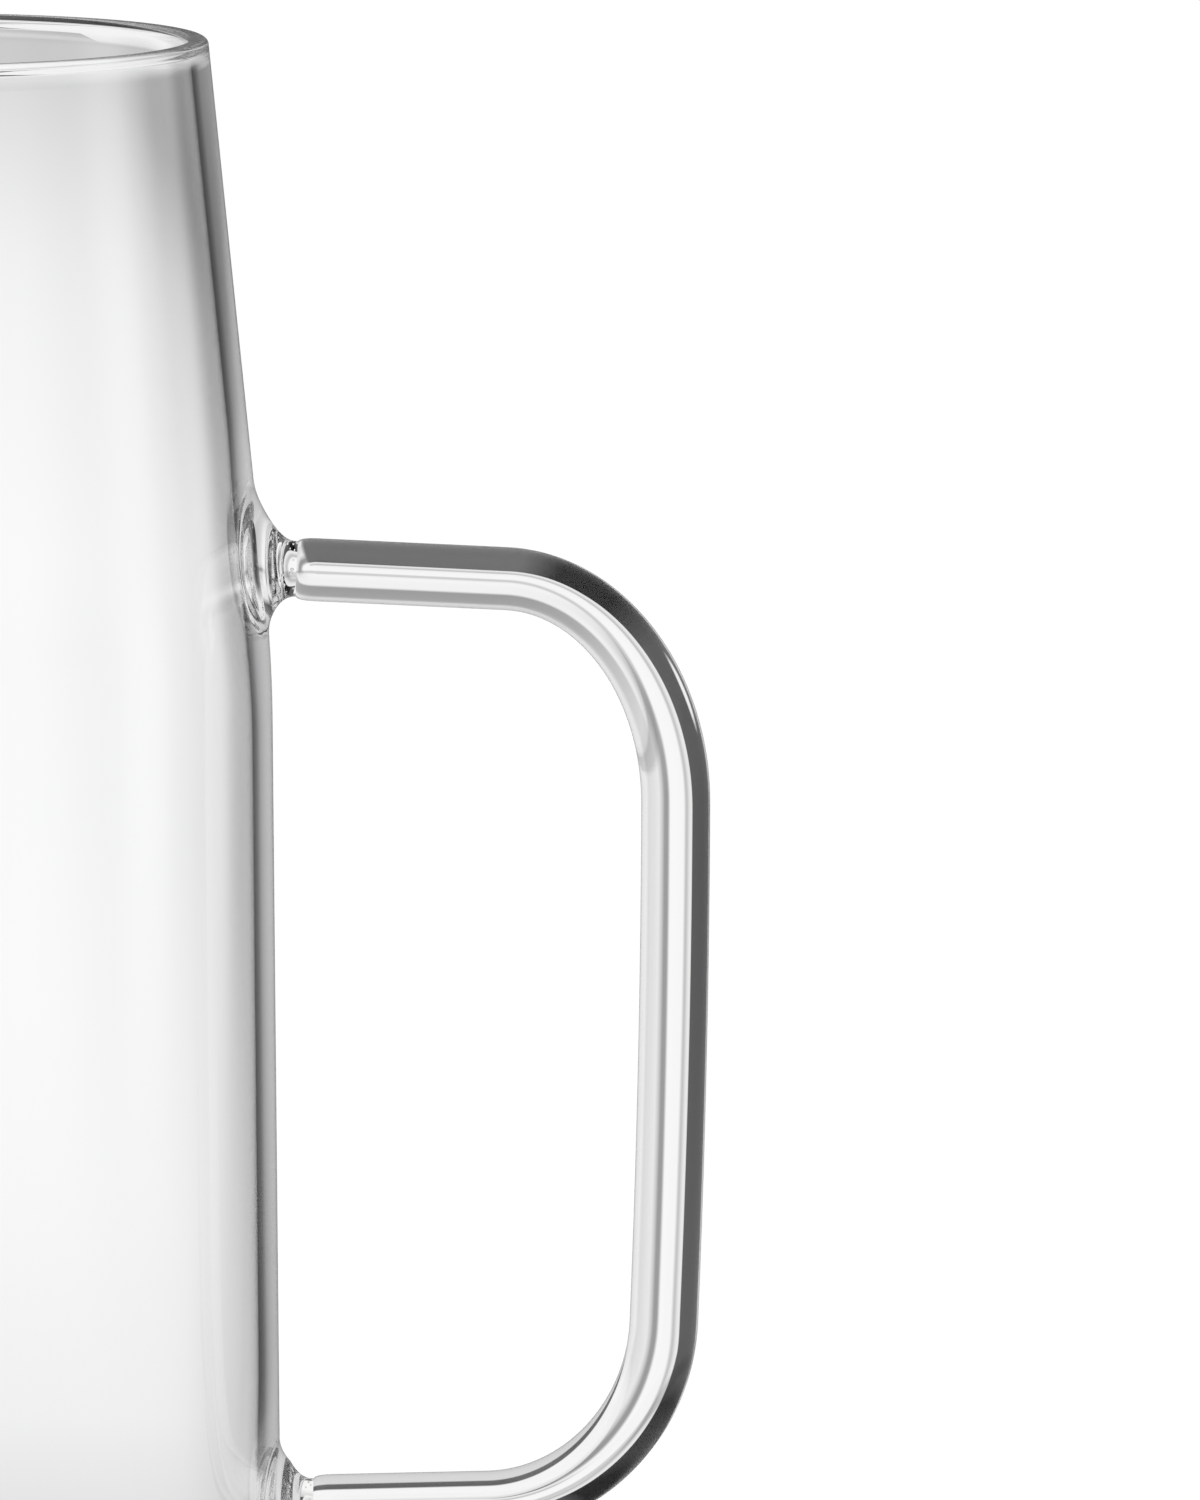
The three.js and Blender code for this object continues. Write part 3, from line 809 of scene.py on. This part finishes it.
# Painted shade in the paper's glow as the glass shows it: darker far behind, aslant and aside, and painted
# screens.
aslant = maths(tree, "DIVIDE", side_on, maths(tree, "MAXIMUM", y, ASLANT_NEAREST))
aslant_shade = shades(tree, aslant, PAINTED_SHADE_ASLANT, "B_SPLINE")
far_shade = blend(tree, shades(tree, y, ASLANT_SHARE), 1.0, aslant_shade)
back_shade = maths(tree, "MULTIPLY", shades(tree, y, PAINTED_SHADE_BEHIND, "B_SPLINE"), far_shade)
side_shade = shades(tree, away, PAINTED_SHADE_ASIDE)
painted_paper_shade = maths(tree, "MULTIPLY", PAPER_GAIN, blend(tree, screens["Behind"], side_shade, back_shade))
aside_share = shades(tree, away, SCREENS_ASIDE_SHARE)
behind_share = shades(tree, away, SCREENS_BEHIND_SHARE)
screens_share = blend(tree, screens["Behind"], aside_share, behind_share)
through = maths(tree, "MULTIPLY", painted_paper_shade, blend(tree, screens_share, FOOT_LEVEL, screens["Through"]))
few_bounces = maths(tree, "LESS_THAN", ray["Ray Depth"], PAPER_ROD_BOUNCES)
rod_ray = maths(tree, "MULTIPLY", few_bounces, ray["Is Transmission Ray"])
beside = maths(tree, "ABSOLUTE", y)
in_strip = maths(tree, "LESS_THAN", beside, ROD_STRIP)
near_rod = maths(tree, "MULTIPLY", in_strip, shades(tree, ray["Ray Length"], ROD_NEARNESS))
# Through the rod, the paper close by shows a painted dark strip.
through_glass = blend(tree, rod_ray, through, shades(tree, beside, PAINTED_SHADE_THROUGH_ROD))
# Rays mirrored by the glass see painted reflections of the screens, rays through it the painted shade.
painted_glow = blend(tree, ray["Is Transmission Ray"], screens["Mirrored"], through_glass)
let_through = maths(tree, "MULTIPLY", rod_ray, maths(tree, "SUBTRACT", 1.0, near_rod))
plug(tree, shader.inputs["Emission Color"], blend(tree, ray["Is Camera Ray"], painted_glow, PAPER_GLOW))
plug(tree, shader.inputs["Emission Strength"], 1.0)
plug(tree, shader.inputs["Alpha"], maths(tree, "SUBTRACT", 1.0, let_through))
plug(tree, shader.inputs["Base Color"], maths(tree, "MULTIPLY", ray["Is Camera Ray"], PAPER_COLOUR))
plug(tree, shader.inputs["Roughness"], 1.0)
plug(tree, shader.inputs["Specular IOR Level"], 0.0)
floor.data.materials.append(paper)

# The surroundings: a white studio with dark screens at the sides, which give clear glass its dark edges.
# The camera sees plain white. The solid rod bends light far, so the screens that it shows are set by
# the angle away from the line of sight and by the way round that line, from below over the left.
SIGHT_TILT = math.radians(8.5)
STUDIO_ROD_BOUNCES = 3.5
# Levels by degrees above the horizon. Overhead, the screens at the sides end.
SKY_THROUGH = (
    (-90, 0.9), (-1, 0.9), (4, 0.945), (14, 0.945), (20, 0.1), (40, 0.1), (52, 0.8), (90, 0.8))
SKY_MIRRORED = ((-90, 1), (0, 1), (15, 0.5), (30, 0.25), (90, 0.25))
OVERHEAD_SHARE = ((2, 0), (9, 1))
# On the left the rod's dark screens start at a share of this angle. That share and the darks' own levels
# go by degrees round the line of sight, and the levels before a dark by the share of the way to it.
DARK_REACH = 30.0
DARK_START = ((0, 0.25), (30, 0.33), (60, 0.5), (90, 0.65), (120, 0.55), (150, 0.4), (180, 0.3))
TOWARDS_DARK = (
    (0, 0.95), (0.45, 0.93), (0.56, 0.6), (0.63, 0.52), (0.74, 0.7), (0.84, 0.83), (0.97, 0.83), (1.02, 0),
    (2, 0))
DARK_LEVELS = (
    (0, 0.14), (9, 0.135), (21, 0.0), (38, 0.0), (52, 0.08), (95, 0.07), (100, 0.07), (107, 0.0),
    (145, 0.0), (152, 0.1), (180, 0.1))
# On the right the rod's screens are pale. Levels by degrees away from the line of sight, for the grip
# and for the arms, and the shares of the pale side and of the arms by degrees round that line.
PALE_GRIP = (
    (0, 0.95), (6, 0.95), (8, 0.5), (9, 0.3), (12.5, 0.3), (14, 0.45), (16, 0.61), (19.6, 0.81), (23, 0.8),
    (30, 0.74), (37, 0.7), (44, 0.84), (50, 0.88), (58, 0.91), (90, 0.91))
PALE_ARMS = (
    (0, 0.9), (4, 0.93), (19.6, 0.92), (23, 0.33), (30, 0.34), (37, 0.36), (44, 0.45), (50, 0.8),
    (58, 0.85), (90, 0.9))
PALE_SHARE = ((-22, 1), (-12, 0))
ARMS_SHARE = ((-180, 1), (-165, 0.97), (-135, 0.8), (-115, 0.45), (-98, 0.05), (-90, 0), (0, 0))
STRAIGHT_UP = 168.0
# A grey line just above the line of sight, by the height above it for each metre of a ray.
GREY_LINE = ((0.03, 1), (0.045, 0.7), (0.078, 0.62), (0.09, 0.88), (0.12, 1), (0.2, 1))
# Three other directions, by compass and height in degrees, with levels by degrees away from each.
GAP_AT = (-45, -25)
GAP = ((0, 0.95), (4, 0.95), (7, 0), (180, 0))
SIDE_RING_AT = (-90, -3)
SIDE_RING = ((0, 1), (8, 1), (13, 0.6), (17, 0.12), (45, 0.12), (55, 0.9), (180, 0.9))
BACK_RING_AT = (135, -15)
BACK_RING = ((0, 1), (9, 1), (14, 0.7), (18, 0.12), (50, 0.12), (62, 0.8), (180, 0.9))
RINGS_SHARE = ((80, 0), (88, 1))
world = bpy.data.worlds.new("studio")
bpy.context.scene.world = world
world.use_nodes = True
tree = world.node_tree
ray = tree.nodes.new("ShaderNodeLightPath").outputs
direction = tree.nodes.new("ShaderNodeTexCoord").outputs["Generated"]
x, y, z = add_node(tree, "ShaderNodeSeparateXYZ", Vector=direction).outputs
screens = add_node(tree, "ShaderNodeGroup", {"node_tree": sides}, Direction=direction).outputs
height = maths(tree, "DEGREES", maths(tree, "ARCSINE", z))
open_screens = blend(tree, shades(tree, height, OVERHEAD_SHARE), screens["Through"], 1.0)
through = maths(tree, "MULTIPLY", open_screens, shades(tree, height, SKY_THROUGH))
mirrored = maths(tree, "MULTIPLY", screens["Mirrored"], shades(tree, height, SKY_MIRRORED))


def angle_from(compass, elevation):
    """Degrees between a ray and a fixed direction."""
    across, up = math.radians(compass), math.radians(elevation)
    fixed = (math.sin(across) * math.cos(up), math.cos(across) * math.cos(up), math.sin(up))
    dot = add_node(tree, "ShaderNodeVectorMath", {"operation": "DOT_PRODUCT"})
    plug(tree, dot.inputs[0], direction)
    plug(tree, dot.inputs[1], fixed)
    return maths(tree, "DEGREES", maths(tree, "ARCCOSINE", dot.outputs["Value"]))


upright = maths(tree, "MULTIPLY", z, math.cos(SIGHT_TILT))
rise = maths(tree, "ADD", upright, maths(tree, "MULTIPLY", y, math.sin(SIGHT_TILT)))
aside = angle_from(0, -math.degrees(SIGHT_TILT))
leftwards = maths(tree, "MULTIPLY", x, -1.0)
downwards = maths(tree, "MULTIPLY", rise, -1.0)
turn = maths(tree, "DEGREES", maths(tree, "ARCTAN2", leftwards, downwards))
dark_start = maths(tree, "MULTIPLY", DARK_REACH, shades(tree, turn, DARK_START))
towards_dark = shades(tree, maths(tree, "DIVIDE", aside, dark_start), TOWARDS_DARK)
dark_side = maths(tree, "MAXIMUM", towards_dark, shades(tree, turn, DARK_LEVELS))
upmost = maths(tree, "GREATER_THAN", turn, STRAIGHT_UP)
pale_share = maths(tree, "MAXIMUM", shades(tree, turn, PALE_SHARE), upmost)
arms_share = maths(tree, "MAXIMUM", shades(tree, turn, ARMS_SHARE), upmost)
pale_side = blend(tree, arms_share, shades(tree, aside, PALE_GRIP), shades(tree, aside, PALE_ARMS))
both_sides = blend(tree, pale_share, dark_side, pale_side)
ahead = maths(tree, "MULTIPLY", both_sides, shades(tree, rise, GREY_LINE))
gap = shades(tree, angle_from(*GAP_AT), GAP)
side_ring = shades(tree, angle_from(*SIDE_RING_AT), SIDE_RING)
back_ring = shades(tree, angle_from(*BACK_RING_AT), BACK_RING)
rings = maths(tree, "MULTIPLY", side_ring, back_ring)
rod_light = blend(tree, shades(tree, aside, RINGS_SHARE), maths(tree, "MAXIMUM", ahead, gap), rings)
few_bounces = maths(tree, "LESS_THAN", ray["Ray Depth"], STUDIO_ROD_BOUNCES)
rod_ray = maths(tree, "MULTIPLY", few_bounces, ray["Is Transmission Ray"])
through_glass = blend(tree, rod_ray, through, rod_light)
glass_light = blend(tree, ray["Is Transmission Ray"], mirrored, through_glass)
background = tree.nodes["Background"]
plug(tree, background.inputs["Color"], blend(tree, ray["Is Camera Ray"], glass_light, 1.0))
plug(tree, background.inputs["Strength"], 1.0)

# The lamp: a broad soft light from above, which leaves a faint shade under the pitcher.
# The glass neither mirrors it nor shows it through.
LAMP_STRENGTH = math.pi
LAMP_SPREAD = math.radians(50)
LAMP_PLACE = (0, 0, 2)
sun = bpy.data.lights.new("soft_overhead", "SUN")
sun.energy = LAMP_STRENGTH
sun.angle = LAMP_SPREAD
lamp = bpy.data.objects.new("soft_overhead", sun)
lamp.location = LAMP_PLACE
lamp.visible_glossy = False
lamp.visible_transmission = False
bpy.context.collection.objects.link(lamp)

# The camera: a long lens from above the rim, tilted a little down, close in on the handle as in the
# photograph. With fewer bounces, the rays that run on inside the glass would end in black seams.
AIM = (93.05 * MM, 0, 136.9 * MM)
CAMERA_DISTANCE = 1.5
LOOK_DOWN = math.radians(8.58)
SENSOR_WIDTH = 36
FOCAL_LENGTH = 272.75
SIGHT_LIMIT = 50
MOST_BOUNCES = 300
camera = bpy.data.objects.new("camera", bpy.data.cameras.new("camera"))
camera.location = (AIM[0], -CAMERA_DISTANCE, AIM[2] + CAMERA_DISTANCE * math.tan(LOOK_DOWN))
camera.rotation_euler = (math.pi / 2 - LOOK_DOWN, 0, 0)
camera.data.sensor_width = SENSOR_WIDTH
camera.data.lens = FOCAL_LENGTH
camera.data.clip_end = SIGHT_LIMIT
bpy.context.collection.objects.link(camera)
scene = bpy.context.scene
scene.camera = camera
scene.view_settings.view_transform = "Standard"
scene.cycles.max_bounces = MOST_BOUNCES
scene.cycles.glossy_bounces = MOST_BOUNCES
scene.cycles.transmission_bounces = MOST_BOUNCES
scene.cycles.transparent_max_bounces = MOST_BOUNCES
